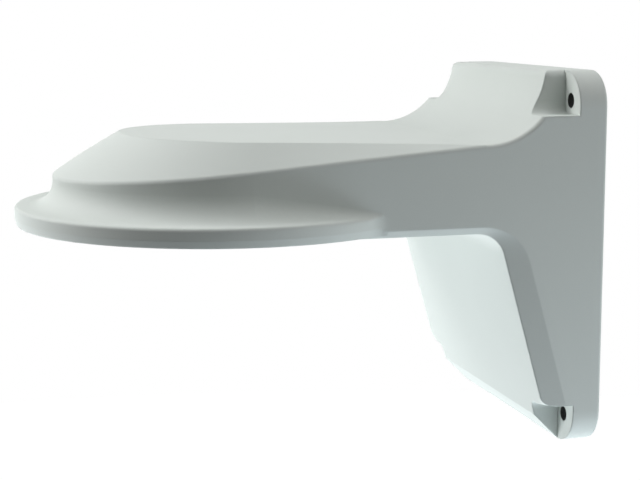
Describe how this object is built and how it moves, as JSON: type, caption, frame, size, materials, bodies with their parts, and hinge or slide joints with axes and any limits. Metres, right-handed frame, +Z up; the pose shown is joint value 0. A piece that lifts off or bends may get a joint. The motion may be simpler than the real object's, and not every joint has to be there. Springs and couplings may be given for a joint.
{
  "type": "camera bracket",
  "caption": "One-piece hollow cast wall bracket: an arm runs out from a wall box to a round disc that carries a dome camera.",
  "frame": {"origin": "centre of the four wall screws, in the plane of the wall", "axes": "+Y points into the wall, the arm points along -Y, +Z is up, X runs across"},
  "size_m": [0.155, 0.2105, 0.141],
  "materials": {
    "painted_casting": "fine satin powder coat"
  },
  "bodies": {
    "root": {"bracket_body": "painted_casting"}
  },
  "joints": []
}
